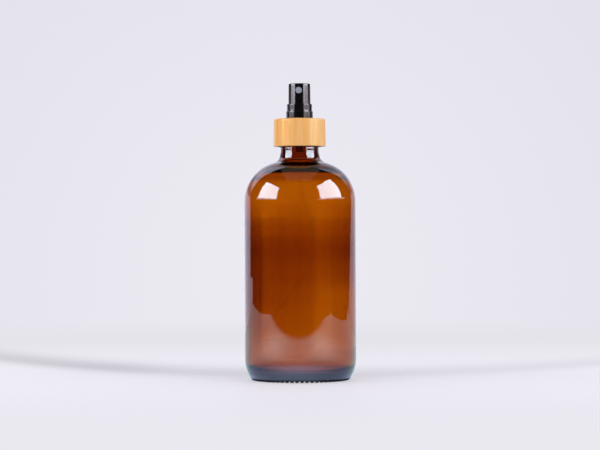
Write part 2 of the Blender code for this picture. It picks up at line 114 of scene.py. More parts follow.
# Blown wall: (height, mean thickness, how much thinner the +X side is), all in mm
BLOWN_WALL = [
    (12, 2.2, 0.1),
    (26, 2.1, 0.3),
    (42, 2.4, 0.6),
    (57, 2.7, 0.9),
    (74, 3.2, 0.5),
    (88, 3.6, 0.3),
    (100, 2.9, 0.2),
    (112, 2.0, 0.0),
    (121, 1.6, 0.0),
    (132, 1.6, 0.0),
    (137, 2.1, 0.0),
    (142, 3.0, 0.0),
    (146, 3.4, 0.0),
]

# Heights over which the blown wall sets in and ends, and where the floor's lean and the ripples end
BLOWN_START = (11.0 * MM, 24.0 * MM)
BLOWN_END = (143.0 * MM, 149.0 * MM)
LEAN_END = (9.0 * MM, 24.0 * MM)
RIPPLE_END = (108.0 * MM, 124.0 * MM)

# Ripples of the blown wall: (size in mm, waves round the bottle, start, twist from foot to lip),
# with the start and the twist in radians
RIPPLES = [(0.04, 11, 0.0, 8), (0.04, 23, 2.1, -5), (0.03, 37, 0.7, 0)]

# Upright columns where the wall is thinner: (place across, width, how much thinner in mm, top in mm).
# Place and width are shares of the bottle's half width. A negative amount makes the wall thicker.
# Each column fades out over the COLUMN_FADE mm below its top.
COLUMN_FADE = 16
WALL_COLUMNS = [
    (-0.62, 0.12, 0.50, 124),
    (-0.10, 0.07, 0.20, 118),
    (0.36, 0.20, 0.40, 124),
    (0.60, 0.09, 0.15, 120),
    (0.02, 0.26, -0.32, 134),
]

# Screw thread, six turns an inch
THREAD_PITCH = 25.4 / 6 * MM
THREAD_TURNS = 1.15
THREAD_RUN_OUT = 0.08
NECK_THREAD_LOW = 161.7 * MM
NECK_THREAD_OUT = 0.95 * MM
NECK_THREAD_HALF = 1.15 * MM
CLOSURE_THREAD_DROP = 1.85 * MM
CLOSURE_THREAD_OUT = 0.95 * MM
CLOSURE_THREAD_HALF = 0.95 * MM

# Bamboo collar
COLLAR_BORE = 9.25 * MM
COLLAR_TOP_RADIUS = 17.35 * MM
COLLAR_INSIDE = 15.5 * MM
COLLAR_DECK = 2.2 * MM
STRIP_WIDTH = 4.6 * MM
STRIP_OFFSET = 1.6 * MM

# Threaded closure with its stepped turret
CLOSURE_BORE = 14.0 * MM
CLOSURE_DECK_UNDER = 172.0 * MM
CLOSURE_DECK_TOP = 173.4 * MM
TURRET_BORE = 7.75 * MM
TURRET_RADIUS = 9.07 * MM
TURRET_WAIST = 8.75 * MM
TURRET_TOP_RADIUS = 8.5 * MM
TURRET_STEP = 180.7 * MM
TURRET_WAIST_START = 0.1 * MM
TURRET_WAIST_END = 0.75 * MM

# Push button: a hollow cap with a socket for the stem
BUTTON_TOP_RADIUS = 7.36 * MM
BUTTON_INSIDE_LOW = 6.6 * MM
BUTTON_INSIDE_HIGH = 6.5 * MM
BUTTON_TOP_WALL = 1.9 * MM
SOCKET_RADIUS = 3.0 * MM
SOCKET_BORE = 2.15 * MM
SOCKET_RECESS = 0.3 * MM
SOCKET_END = 191.2 * MM
STEM_CHANNEL = 0.75 * MM
STEM_CHANNEL_REACH = 2.4 * MM

# Nozzle in the button's front; its stretches are distances from the bottle's axis
NOZZLE_HEIGHT = 194.9 * MM
NOZZLE_BORE = 2.35 * MM
NOZZLE_POST = 1.4 * MM
BOSS_WALL = 0.75 * MM
BOSS_REACH = (1.5 * MM, 6.6 * MM)
BORE_REACH = (3.7 * MM, 8.5 * MM)
POST_END = 6.2 * MM
DUCT_RADIUS = 0.4 * MM
DUCT_END = 3.9 * MM

# Nozzle insert
INSERT_INSIDE = 1.5 * MM
INSERT_PLATE = 0.65 * MM
ORIFICE_RADIUS = 0.2 * MM
FLARE_RADIUS = 0.55 * MM
FLARE_DEPTH = 0.25 * MM

# Springs: the first and last turns lie close, and the others share the height.
SPRING_POINTS = 24
CLOSED_PITCH_WIRES = 2.5
MAIN_SPRING_WIRE = 0.225 * MM
MAIN_SPRING_TURNS = 5.5
SLIP_SPRING_WIRE = 0.15 * MM
SLIP_SPRING_TURNS = 5.0

# Dip tube, with its route in mm as in the CAD
TUBE_RADIUS = 1.5 * MM
TUBE_WALL = 0.55 * MM
TUBE_ROUTE = [
    (0.0, 0.0, 156.4),
    (0.0, 0.0, 147.0),
    (0.3, 0.1, 134.0),
    (1.8, 0.3, 120.0),
    (5.4, 0.6, 108.5),
    (7.6, 0.8, 95.0),
    (6.6, 0.8, 82.0),
    (1.6, 0.6, 70.5),
    (-6.0, 0.3, 59.5),
    (-13.6, 0.0, 49.8),
    (-20.8, -0.3, 39.6),
    (-26.0, -0.5, 30.0),
    (-28.8, -0.6, 20.5),
]

# Studio, in metres and linear brightness
PALE = (0.772, 0.757, 0.836)
PALE_MIDDLE = (0.843, 0.832, 0.890)
BACKDROP_MIDDLE = Vector((-0.085, 0.996, -0.02)).normalized()
BACKDROP_SPREAD = math.radians(11.0)
FLOOR_GLOW = 0.5
WINDOW_SIDE = 2.0
WINDOW_LIGHT = 15.5
APRON_LIGHT = 4.4
WHITE = (0.98, 0.97, 1.02)
SKY = (0.80, 0.96, 1.09)
TABLE_FRONT = 0.70
TABLE_BACK = 0.60
TABLE_EDGE = [
    (-0.99, -TABLE_FRONT),
    (0.80, -TABLE_FRONT),
    (1.12, -0.43),
    (0.93, 0.40),
    (1.20, TABLE_BACK),
    (-1.45, TABLE_BACK),
    (-1.30, 0.15),
]

# Edge of the backdrop's reflection, as (x, z) where the table ends
BACKDROP_EDGE = [
    (-1.08, 0.04),
    (-1.60, 0.03),
    (-1.60, 0.0),
    (0.95, 0.0),
    (0.62, 0.12),
    (0.60, 1.4),
    (-0.95, 1.4),
]

# How far the floor and the level reflecting sheets lie under the bottle, so that no two share a plane
FLOOR_DROP = 0.0002
FOOT_DROP = 0.0004
TABLE_DROP = 0.0005

# Painted shade along a line in the floor that bends round behind the bottle: y = CREASE_BEND x^2 +
# CREASE_NEAR
CREASE_BEND = 2.9
CREASE_NEAR = 0.060


# ---------------------------------------------------------------- mesh helpers

def arc(centre, radius, start, end, count):
    """Points of an arc from start to end, in degrees from the +radius direction."""
    angles = [math.radians(start + (end - start) * i / count) for i in range(count + 1)]
    return [(centre[0] + radius * math.cos(a), centre[1] + radius * math.sin(a)) for a in angles]


def even(outline, step, closed=False):
    """The outline with its long straight runs split into stretches no longer than step."""
    points = []
    ends = outline[1:] + (outline[:1] if closed else [])
    for (r0, z0), (r1, z1) in zip(outline, ends):
        count = max(1, math.ceil(math.hypot(r1 - r0, z1 - z0) / step))
        points += [(r0 + (r1 - r0) * i / count, z0 + (z1 - z0) * i / count) for i in range(count)]
    return points if closed else [*points, outline[-1]]


def rounded(corners, count=6):
    """An outline whose corners (r, z, fillet) are rounded by their fillet; a corner (r, z) stays sharp."""
    outline = []
    for i, corner in enumerate(corners):
        if len(corner) == 2:
            outline.append(corner)
            continue
        here = Vector(corner[:2])
        before = (Vector(corners[i - 1][:2]) - here).normalized()
        after = (Vector(corners[(i + 1) % len(corners)][:2]) - here).normalized()
        half = before.angle(after) / 2
        centre = here + (before + after).normalized() * corner[2] / math.sin(half)
        first = here + before * corner[2] / math.tan(half) - centre
        turn = math.copysign(math.pi - 2 * half, before.angle_signed(after))
        for step in range(count + 1):
            point = centre + Matrix.Rotation(turn * step / count, 2) @ first
            outline.append((point.x, point.y))
    return outline


def lathe(name, outline, segments, shape=None, sharp=40):
    """Turns an outline about +Z into a closed mesh. It runs down the outer side and up the inner one.
    shape(index, r, z, angle) may move each point of the surface and gives back its (r, z)."""
    points = []
    rings = []
    for index, (r, z) in enumerate(outline):
        if r < 1e-9:
            rings.append([len(points)] * segments)
            points.append((0.0, 0.0, z))
            continue
        rings.append(range(len(points), len(points) + segments))
        for k in range(segments):
            angle = 2 * math.pi * k / segments
            radius, height = shape(index, r, z, angle) if shape else (r, z)
            points.append((radius * math.cos(angle), radius * math.sin(angle), height))
    pairs = list(zip(rings, rings[1:]))
    if outline[0][0] > 1e-9:
        pairs.append((rings[-1], rings[0]))
    faces = []
    for above, below in pairs:
        for k in range(segments):
            after = (k + 1) % segments
            corners = [above[k], below[k], below[after], above[after]]
            faces.append(list(dict.fromkeys(corners)))
    mesh = bpy.data.meshes.new(name)
    mesh.from_pydata(points, [], faces)
    mesh.shade_smooth()
    mesh.set_sharp_from_angle(angle=math.radians(sharp))
    obj = bpy.data.objects.new(name, mesh)
    bpy.context.scene.collection.objects.link(obj)
    return obj


def smoothstep(x, low, high):
    """0 up to low, 1 from high on, and a smooth climb between them."""
    t = min(1.0, max(0.0, (x - low) / (high - low)))
    return t * t * (3 - 2 * t)


def along(table, x):
    """The row of a table at x, with a smooth run between its rows."""
    if x <= table[0][0]:
        return table[0][1:]
    for low, high in zip(table, table[1:]):
        if x <= high[0]:
            t = smoothstep(x, low[0], high[0])
            return tuple(a + (b - a) * t for a, b in zip(low[1:], high[1:]))
    return table[-1][1:]


def ridge(z, angle, low, half):
    """Height, 0 to 1, of a helical thread ridge at this place; it starts and ends in a short run-out."""
    tallest = 0.0
    for lap in range(math.ceil(THREAD_TURNS) + 1):
        turned = angle / (2 * math.pi) + lap
        if turned > THREAD_TURNS:
            continue
        off = (z - low - THREAD_PITCH * turned) / half
        if abs(off) < 1:
            run_out = smoothstep(min(turned, THREAD_TURNS - turned), 0.0, THREAD_RUN_OUT)
            tallest = max(tallest, run_out * math.sqrt(1 - off * off))
    return tallest


def swept(name, places, radius, capped):
    """A round wire along the places, as a closed mesh, or an open-ended one for a tube."""
    curve = bpy.data.curves.new(name, "CURVE")
    curve.dimensions = "3D"
    curve.bevel_depth = radius
    curve.bevel_resolution = 6
    curve.use_fill_caps = capped
    spline = curve.splines.new("POLY")
    spline.points.add(len(places) - 1)
    for point, place in zip(spline.points, places):
        point.co = (*place, 1.0)
    guide = bpy.data.objects.new(name + "_guide", curve)
    bpy.context.scene.collection.objects.link(guide)
    obj = bpy.data.objects.new(name, evaluated(guide))
    bpy.context.scene.collection.objects.link(obj)
    bpy.data.objects.remove(guide)
    return obj


def evaluated(obj):
    """The object's shape with its modifiers as a mesh of its own, welded and shaded smooth."""
    bpy.context.view_layer.update()
    mesh = bpy.data.meshes.new_from_object(obj.evaluated_get(bpy.context.evaluated_depsgraph_get()))
    welded = bmesh.new()
    welded.from_mesh(mesh)
    bmesh.ops.remove_doubles(welded, verts=welded.verts, dist=1e-6)
    welded.to_mesh(mesh)
    welded.free()
    mesh.shade_smooth()
    mesh.set_sharp_from_angle(angle=math.radians(40))
    return mesh


def combine(obj, tool, operation):
    """Joins tool to obj or cuts it away, and removes the tool."""
    boolean = obj.modifiers.new("boolean", "BOOLEAN")
    boolean.operation = operation
    boolean.object = tool
    mesh = evaluated(obj)
    obj.modifiers.clear()
    obj.data = mesh
    bpy.data.objects.remove(tool)


def smooth_route(points, steps):
    """A Catmull-Rom curve through the points, with steps stretches between neighbours."""
    places = [Vector(p) * MM for p in points]
    padded = [2 * places[0] - places[1], *places, 2 * places[-1] - places[-2]]
    route = []
    for a, b, c, d in zip(padded, padded[1:], padded[2:], padded[3:]):
        for i in range(steps):
            t = i / steps
            route.append(
                0.5 * (2 * b + (c - a) * t + (2 * a - 5 * b + 4 * c - d) * t**2
                       + (3 * b - a - 3 * c + d) * t**3)
            )
    return [*route, places[-1]]


# ---------------------------------------------------------------- material helpers

class Look:
    """A material and its nodes. add() makes a node and fills its inputs with values or other outputs."""

    def __init__(self, name):
        self.material = bpy.data.materials.new(name)
        self.material.use_nodes = True
        self.tree = self.material.node_tree
        self.shader = self.tree.nodes["Principled BSDF"]
        self.output = self.tree.nodes["Material Output"]
        self.place = self.add("ShaderNodeTexCoord").outputs["Object"]

    def add(self, kind, inputs=None, **settings):
        made = self.tree.nodes.new(kind)
        for key, value in settings.items():
            setattr(made, key, value)
        for key, value in (inputs or {}).items():
            self.put(made.inputs[key], value)
        return made

    def put(self, socket, value):
        if isinstance(value, bpy.types.NodeSocket):
            self.tree.links.new(value, socket)
        else:
            socket.default_value = value

    def set(self, **inputs):
        """Fills the shader's inputs; an underscore stands for a space."""
        for key, value in inputs.items():
            self.put(self.shader.inputs[key.replace("_", " ")], value)

    def scaled(self, x, y, z):
        return self.add("ShaderNodeMapping", {"Vector": self.place, "Scale": (x, y, z)}).outputs[0]

    def noise(self, vector, scale, detail=2.0, roughness=0.5, distortion=0.0):
        inputs = {"Vector": vector, "Scale": scale, "Detail": detail, "Roughness": roughness}
        inputs["Distortion"] = distortion
        return self.add("ShaderNodeTexNoise", inputs).outputs[0]

    def math(self, operation, a, b=0.0, c=0.0, clamp=False):
        inputs = {0: a, 1: b, 2: c}
        return self.add("ShaderNodeMath", inputs, operation=operation, use_clamp=clamp).outputs[0]

    def spread(self, value, low, high, to_low=0.0, to_high=1.0):
        inputs = {"Value": value, 1: low, 2: high, 3: to_low, 4: to_high}
        return self.add("ShaderNodeMapRange", inputs, interpolation_type="SMOOTHSTEP").outputs[0]

    def ramp(self, value, stops):
        """A colour ramp with stops of (position, (r, g, b))."""
        made = self.add("ShaderNodeValToRGB", {"Fac": value})
        for i, (position, colour) in enumerate(stops):
            element = made.color_ramp.elements[i] if i < 2 else made.color_ramp.elements.new(position)
            element.position = position
            element.color = (*colour, 1.0)
        return made.outputs[0]

    def mix(self, factor, a, b, blend="MIX"):
        made = self.add("ShaderNodeMix", data_type="RGBA", blend_type=blend)
        self.put(made.inputs["Factor"], factor)
        self.put(made.inputs["A"], a if isinstance(a, bpy.types.NodeSocket) else (*a, 1.0))
        self.put(made.inputs["B"], b if isinstance(b, bpy.types.NodeSocket) else (*b, 1.0))
        return made.outputs["Result"]

    def grey(self, value):
        return self.add("ShaderNodeCombineColor", {0: value, 1: value, 2: value}).outputs[0]

    def bump(self, height, strength, distance):
        inputs = {"Height": height, "Strength": strength, "Distance": distance}
        self.set(Normal=self.add("ShaderNodeBump", inputs).outputs[0])


# ---------------------------------------------------------------- materials

def amber_glass():
    """Clear glass whose body takes up the blue and some green, with an uneven outer skin.
    The skin is calmer on the neck, where the mould shaped it."""
    look = Look("amber_glass")
    look.set(Base_Color=(1.0, 0.61, 0.16, 1.0), Transmission_Weight=1.0, IOR=1.52, Roughness=0.0)
    broad = look.noise(look.scaled(1.0, 1.0, 0.25), 60.0, 1.0)
    fine = look.noise(look.scaled(1.0, 1.0, 0.12), 260.0, 1.0)
    height = look.add("ShaderNodeSeparateXYZ", {0: look.place}).outputs["Z"]
    calm = look.spread(height, 0.138, 0.148, 1.0, 0.15)
    uneven = look.math("MULTIPLY_ADD", fine, 0.15, broad)
    look.bump(look.math("MULTIPLY", uneven, calm), 0.30, 0.05 * MM)
    absorb = look.add("ShaderNodeVolumeAbsorption")
    absorb.inputs["Color"].default_value = (0.840, 0.706, 0.0, 1.0)
    absorb.inputs["Density"].default_value = 1200.0
    look.tree.links.new(absorb.outputs[0], look.output.inputs["Volume"])
    return look.material


def bamboo():
    """Glued upright bamboo strips: each its own tone, with fine fibres and a few darker veins."""
    look = Look("bamboo")
    across = look.add("ShaderNodeSeparateXYZ", {0: look.place})
    along_row = look.math("DIVIDE", look.math("ADD", across.outputs["X"], STRIP_OFFSET), STRIP_WIDTH)
    strip = look.math("FLOOR", along_row)
    tone = look.add("ShaderNodeTexWhiteNoise", {"W": strip}, noise_dimensions="1D").outputs["Value"]
    strips = look.ramp(tone, [(0.0, (0.97, 0.50, 0.13)), (1.0, (1.0, 0.62, 0.25))])
    cloud = look.noise(look.scaled(1.0, 1.0, 0.12), 210.0, 3.0)
    fibres = look.noise(look.scaled(1.0, 1.0, 0.02), 950.0, 3.0, 0.70)
    lines = look.noise(look.scaled(1.0, 1.0, 0.012), 1300.0, 1.0)
    clouded = look.mix(1.0, strips, look.grey(look.spread(cloud, 0.3, 0.7, 0.97, 1.05)), "MULTIPLY")
    threads = look.ramp(fibres, [(0.36, (0.94, 0.80, 0.56)), (0.64, (1.0, 1.02, 1.06))])
    plain = look.mix(1.0, clouded, threads, "MULTIPLY")
    veins = look.math("MULTIPLY", look.spread(lines, 0.63, 0.73), 0.30)
    look.set(Base_Color=look.mix(veins, plain, (0.86, 0.34, 0.06)))
    look.set(Roughness=look.spread(fibres, 0.3, 0.7, 0.50, 0.38), Coat_Weight=0.12, Coat_Roughness=0.25)
    look.bump(fibres, 0.25, 0.08 * MM)
    return look.material


def black_plastic():
    """Glossy black polypropylene with a faint moulding haze."""
    look = Look("black_plastic")
    haze = look.noise(look.place, 420.0, 3.0)
    look.set(Base_Color=look.ramp(haze, [(0.3, (0.004, 0.0035, 0.0035)), (0.7, (0.007, 0.006, 0.006))]))
    look.set(Roughness=look.spread(haze, 0.3, 0.7, 0.11, 0.15), IOR=1.5)
    look.set(Specular_Tint=(1.0, 0.82, 0.82, 1.0))
    look.bump(look.noise(look.scaled(1.0, 1.0, 0.3), 420.0, 1.0), 0.05, 0.02 * MM)
    return look.material


def plain_plastic(name, dark, light, roughness, transmission=0.0):
    """A matt moulded plastic, foam or rubber that varies between a dark and a light tone."""
    look = Look(name)
    haze = look.noise(look.place, 500.0, 3.0)
    look.set(Base_Color=look.ramp(haze, [(0.3, dark), (0.7, light)]))
    look.set(Roughness=look.spread(haze, 0.3, 0.7, roughness - 0.05, roughness + 0.05))
    look.set(Transmission_Weight=transmission)
    look.bump(look.noise(look.place, 1500.0, 2.0), 0.1, 0.03 * MM)
    return look.material


def clear_tube():
    """Thin natural polyethylene, which barely shows inside the amber glass."""
    look = Look("natural_plastic_tube")
    haze = look.noise(look.scaled(1.0, 1.0, 0.3), 700.0, 2.0)
    look.set(Base_Color=look.ramp(haze, [(0.3, (0.97, 0.96, 0.94)), (0.7, (1.0, 1.0, 0.99))]))
    look.set(Transmission_Weight=1.0, IOR=1.08, Roughness=look.spread(haze, 0.3, 0.7, 0.02, 0.06))
    return look.material


def steel():
    """Drawn stainless wire with fine streaks."""
    look = Look("steel")
    streaks = look.noise(look.scaled(1.0, 1.0, 4.0), 1500.0, 2.0)
    look.set(Base_Color=look.ramp(streaks, [(0.3, (0.55, 0.55, 0.56)), (0.7, (0.68, 0.68, 0.68))]))
    look.set(Metallic=1.0, Roughness=look.spread(streaks, 0.3, 0.7, 0.18, 0.32))
    return look.material


# ---------------------------------------------------------------- the object's pieces

def stand_for(piece, node, body, material):
    """Puts the finished piece in the place of its CAD node."""
    piece.data.materials.append(material)
    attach(piece, body)
    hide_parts(node)


def glass_inside():
    """From the floor's centre up the inner wall to the neck's bore."""
    shoulder = (BODY_RADIUS - SHOULDER_RADIUS, SHOULDER_START)
    across = NECK_ROOT_BORE + NECK_FILLET_INSIDE - shoulder[0]
    up = math.sqrt((SHOULDER_RADIUS - WALL + NECK_FILLET_INSIDE) ** 2 - across**2)
    meet = math.degrees(math.atan2(up, across))
    fillet = (NECK_ROOT_BORE + NECK_FILLET_INSIDE, SHOULDER_START + up)
    heel = (BODY_RADIUS - WALL - FLOOR_HEEL, FLOOR_HEIGHT - FLOOR_DISH + FLOOR_HEEL)
    return [
        (0.0, FLOOR_HEIGHT),
        *arc(heel, FLOOR_HEEL, -90, 0, 20),
        *arc(shoulder, SHOULDER_RADIUS - WALL, 0, meet, 36),
        *arc(fillet, NECK_FILLET_INSIDE, meet + 180, 180, 14)[1:],
        (NECK_ROOT_BORE + NECK_BORE_FLARE, fillet[1] + NECK_BORE_LOW),
        (NECK_BORE, fillet[1] + NECK_BORE_HIGH),
    ]


def glass_outside():
    """Over the lip, down the outer wall, round the heel and under the base to its centre."""
    shoulder = (BODY_RADIUS - SHOULDER_RADIUS, SHOULDER_START)
    across = NECK_RADIUS + NECK_FILLET - shoulder[0]
    up = math.sqrt((SHOULDER_RADIUS + NECK_FILLET) ** 2 - across**2)
    meet = math.degrees(math.atan2(up, across))
    heel = (BODY_RADIUS - HEEL_RADIUS, HEEL_START)
    drop = HEEL_START - HEEL_EDGE
    reach = math.sqrt((HEEL_RADIUS - HEEL_EDGE) ** 2 - drop**2)
    heel_meet = -math.degrees(math.atan2(drop, reach))
    return [
        *arc((NECK_BORE + LIP_EDGE, GLASS_HEIGHT - LIP_EDGE), LIP_EDGE, 180, 90, 5),
        *arc((NECK_RADIUS - LIP_EDGE, GLASS_HEIGHT - LIP_EDGE), LIP_EDGE, 90, 0, 5),
        *arc((NECK_RADIUS + NECK_FILLET, SHOULDER_START + up), NECK_FILLET, 180, meet + 180, 16),
        *arc(shoulder, SHOULDER_RADIUS, meet, 0, 40)[1:],
        *arc(heel, HEEL_RADIUS, 0, heel_meet, 14),
        *arc((heel[0] + reach, HEEL_EDGE), HEEL_EDGE, heel_meet, -90, 8)[1:],
        (BEARING_INNER, 0.0),
        (BEARING_INNER - BASE_STEP, BASE_STEP_HEIGHT),
        (BEARING_INNER / 2, 0.8 * PUSH_UP),
        (0.0, PUSH_UP),
    ]


def make_bottle(material):
    """The hollow glass bottle, with a blown wall inside and a moulded one outside."""
    inside = even(glass_inside(), 2.0 * MM)
    outside = even(glass_outside(), 0.6 * MM)
    outline = [*inside, *outside]

    def inner(index, r, z, angle):
        """The blown inner wall: its thickness runs with the height, leans to one side and ripples."""
        mean, lean = along(BLOWN_WALL, z / MM)
        fade = smoothstep(z, *BLOWN_START) * (1 - smoothstep(z, *BLOWN_END))
        side = math.cos(angle)
        waves = 0.0
        for size, count, start, twist in RIPPLES:
            waves += size * math.sin(count * angle + start + twist * z / GLASS_HEIGHT)
        waves *= 1 - side**4
        waves *= 1 - smoothstep(z, *RIPPLE_END)
        for place, width, thinner, top in WALL_COLUMNS:
            column = math.exp(-(((side - place) / width) ** 2))
            waves -= thinner * column * (1 - smoothstep(z, (top - COLUMN_FADE) * MM, top * MM))
        thick = (mean - lean * side + waves) * MM
        before, after = outline[max(index - 1, 0)], outline[index + 1]
        run = Vector((after[0] - before[0], after[1] - before[1])).normalized()
        tilt = -FLOOR_LEAN * r * side * (1 - smoothstep(z, *LEAN_END))
        move = (thick - WALL) * fade
        return r - run.y * move, z + run.x * move + tilt

    def outer(index, r, z, angle):
        """The moulded outer wall, with the screw thread, the mould's lines and the knurled base."""
        if z > NECK_THREAD_LOW - 2.0 * MM and r > NECK_RADIUS - 0.1 * MM:
            r += NECK_THREAD_OUT * ridge(z, angle, NECK_THREAD_LOW, NECK_THREAD_HALF)
        elif z > NECK_LOW and r < NECK_RADIUS + NECK_FILLET:
            for line in JOINT_LINES:
                off = (z - line) / JOINT_WIDTH
                r -= JOINT_DEPTH * math.exp(-off * off)
            taper = min(1.0, max(0.0, (NECK_HIGH - z) / (NECK_HIGH - NECK_LOW - NECK_RUN_OUT)))
            r += NECK_TAPER * taper * smoothstep(z, NECK_LOW, NECK_LOW + NECK_RUN_OUT)
        if z < KNURL_HEIGHT and r > BEARING_INNER - BASE_STEP:
            groove = smoothstep(0.5 - 0.5 * math.cos(KNURLS * angle), *KNURL_EDGE)
            groove = max(groove, 1 - smoothstep(r, KNURL_INNER - KNURL_BLEND, KNURL_INNER))
            z += KNURL_DEPTH * groove * (1 - z / KNURL_HEIGHT)
        return r, z

    def shape(index, r, z, angle):
        return inner(index, r, z, angle) if index < len(inside) - 1 else outer(index, r, z, angle)

    bottle = lathe("bottle_glass", outline, GLASS_SEGMENTS, shape, sharp=75)
    stand_for(bottle, "glass_bottle", "bottle", material)


def make_collar(material):
    """The bamboo shell over the closure, slightly tapered, with softened edges."""
    low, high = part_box("bamboo_collar")
    outline = rounded([
        (COLLAR_BORE, high.z, 0.4 * MM),
        (COLLAR_TOP_RADIUS, high.z, 1.2 * MM),
        (high.x, low.z, 0.35 * MM),
        (COLLAR_INSIDE, low.z, 0.2 * MM),
        (COLLAR_INSIDE, high.z - COLLAR_DECK),
        (COLLAR_BORE, high.z - COLLAR_DECK),
    ])
    collar = lathe("collar", even(outline, MM, closed=True), 160)
    stand_for(collar, "bamboo_collar", "closure", material)


def make_closure(material):
    """The screw closure: a threaded skirt, a deck and the turret that stands out of the collar."""
    low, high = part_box("threaded_closure")
    thread_low = NECK_THREAD_LOW - CLOSURE_THREAD_DROP
    outline = rounded([
        (TURRET_TOP_RADIUS, high.z, 0.25 * MM),
        (TURRET_TOP_RADIUS, TURRET_STEP + TURRET_WAIST_END, 0.3 * MM),
        (TURRET_WAIST, TURRET_STEP + TURRET_WAIST_START, 0.1 * MM),
        (TURRET_RADIUS, TURRET_STEP, 0.3 * MM),
        (TURRET_RADIUS, CLOSURE_DECK_TOP, 0.3 * MM),
        (high.x, CLOSURE_DECK_TOP, 0.4 * MM),
        (high.x, low.z, 0.2 * MM),
        (CLOSURE_BORE, low.z, 0.2 * MM),
        (CLOSURE_BORE, CLOSURE_DECK_UNDER, 0.3 * MM),
        (TURRET_BORE, CLOSURE_DECK_UNDER, 0.1 * MM),
        (TURRET_BORE, high.z, 0.2 * MM),
    ])

    def shape(index, r, z, angle):
        if abs(r - CLOSURE_BORE) < 0.01 * MM:
            r -= CLOSURE_THREAD_OUT * ridge(z, angle, thread_low, CLOSURE_THREAD_HALF)
        return r, z

    closure = lathe("closure", even(outline, 0.4 * MM, closed=True), 144, shape)
    stand_for(closure, "threaded_closure", "closure", material)


def face_front(obj, height=NOZZLE_HEIGHT):
    """Lays an object turned about +Z along the nozzle's axis, pointing out of the button's front."""
    obj.data.transform(Matrix.Translation((0, 0, height)) @ Matrix.Rotation(math.radians(90), 4, "X"))
    return obj


def make_button(material):
    """The push button: a turned cap with a stem socket, a nozzle boss, its bore and the feed duct."""
    low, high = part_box("spray_button")
    ceiling = high.z - BUTTON_TOP_WALL
    socket_low = low.z + SOCKET_RECESS
    channel_top = SOCKET_END + STEM_CHANNEL_REACH
    shell = rounded([
        (0.0, high.z),
        (BUTTON_TOP_RADIUS, high.z, 0.6 * MM),
        (high.x, low.z, 0.12 * MM),
        (BUTTON_INSIDE_LOW, low.z),
        (BUTTON_INSIDE_HIGH, ceiling, 0.3 * MM),
        (SOCKET_RADIUS, ceiling, 0.3 * MM),
        (SOCKET_RADIUS, socket_low),
        (SOCKET_BORE, socket_low),
        (SOCKET_BORE, SOCKET_END),
        (STEM_CHANNEL, SOCKET_END),
        (STEM_CHANNEL, channel_top),
        (0.0, channel_top),
    ])
    button = lathe("button", even(shell, MM), 144)
    boss_radius = NOZZLE_BORE + BOSS_WALL
    boss_back, boss_front = BOSS_REACH
    boss = [(0.0, boss_front), (boss_radius, boss_front), (boss_radius, boss_back), (0.0, boss_back)]
    combine(button, face_front(lathe("nozzle_boss", boss, 64)), "UNION")
    bore_back, bore_front = BORE_REACH
    bore = [
        (0.0, bore_front),
        (NOZZLE_BORE, bore_front),
        (NOZZLE_BORE, bore_back),
        (NOZZLE_POST, bore_back),
        (NOZZLE_POST, POST_END),
        (0.0, POST_END),
    ]
    combine(button, face_front(lathe("nozzle_bore", bore, 96)), "DIFFERENCE")
    duct = [(0.0, DUCT_END), (DUCT_RADIUS, DUCT_END), (DUCT_RADIUS, 0.0), (0.0, 0.0)]
    duct_height = NOZZLE_HEIGHT - (NOZZLE_BORE + NOZZLE_POST) / 2
    combine(button, face_front(lathe("feed_duct", duct, 24), duct_height), "DIFFERENCE")
    stand_for(button, "spray_button", "button", material)


def make_insert(material):
    """The nozzle insert: a grey cup whose front plate holds the orifice at the bottom of a small flare."""
    low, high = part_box("nozzle_insert")
    face, back = -low.y, -high.y
    outline = rounded([
        (high.x, face, 0.18 * MM),
        (high.x, back, 0.1 * MM),
        (INSERT_INSIDE, back, 0.1 * MM),
        (INSERT_INSIDE, face - INSERT_PLATE),
        (ORIFICE_RADIUS, face - INSERT_PLATE),
        (ORIFICE_RADIUS, face - FLARE_DEPTH),
        (FLARE_RADIUS, face, 0.05 * MM),
    ])
    insert = face_front(lathe("insert", outline, 96))
    stand_for(insert, "nozzle_insert", "button", material)


def make_tube(material):
    """The dip tube: a hollow tube swept along its bowed route."""
    tube = swept("suction_tube", smooth_route(TUBE_ROUTE, 10), TUBE_RADIUS, False)
    wall = tube.modifiers.new("wall", "SOLIDIFY")
    wall.thickness = TUBE_WALL
    wall.offset = -1.0
    stand_for(tube, "dip_tube", "pump", material)


def make_spring(node, body, wire, turns, material):
    """A compression spring that fills its CAD node's box."""
    low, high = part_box(node)
    radius = high.x - wire
    closed_pitch = CLOSED_PITCH_WIRES * wire
    height = high.z - low.z - 2 * wire
    open_pitch = (height - 2 * closed_pitch) / (turns - 2)
    places = []
    for i in range(round(turns * SPRING_POINTS) + 1):
        turn = i / SPRING_POINTS
        closed = min(turn, 1.0) + max(turn - (turns - 1), 0.0)
        rise = closed * closed_pitch + (turn - closed) * open_pitch
        angle = 2 * math.pi * turn
        places.append((radius * math.cos(angle), radius * math.sin(angle), low.z + wire + rise))
    spring = swept(node + "_wire", places, wire, True)
    stand_for(spring, node, body, material)
    return spring


def make_springs(material):
    """The two springs, each with a mesh of its own."""
    main_spring = make_spring("main_spring", "pump", MAIN_SPRING_WIRE, MAIN_SPRING_TURNS, material)
    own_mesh(main_spring)
    slip_spring = make_spring("slip_spring", "stem", SLIP_SPRING_WIRE, SLIP_SPRING_TURNS, material)
    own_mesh(slip_spring)


def dress_nodes(materials):
    """Gives each CAD node that stays in view the material of its slot."""
    slots = {part["node"]: part["material_slot"] for part in frame["record"]["subparts"]}
    for name, node in frame["nodes"].items():
        node.data.materials.clear()
        node.data.materials.append(materials[slots[name]])


# ---------------------------------------------------------------- studio

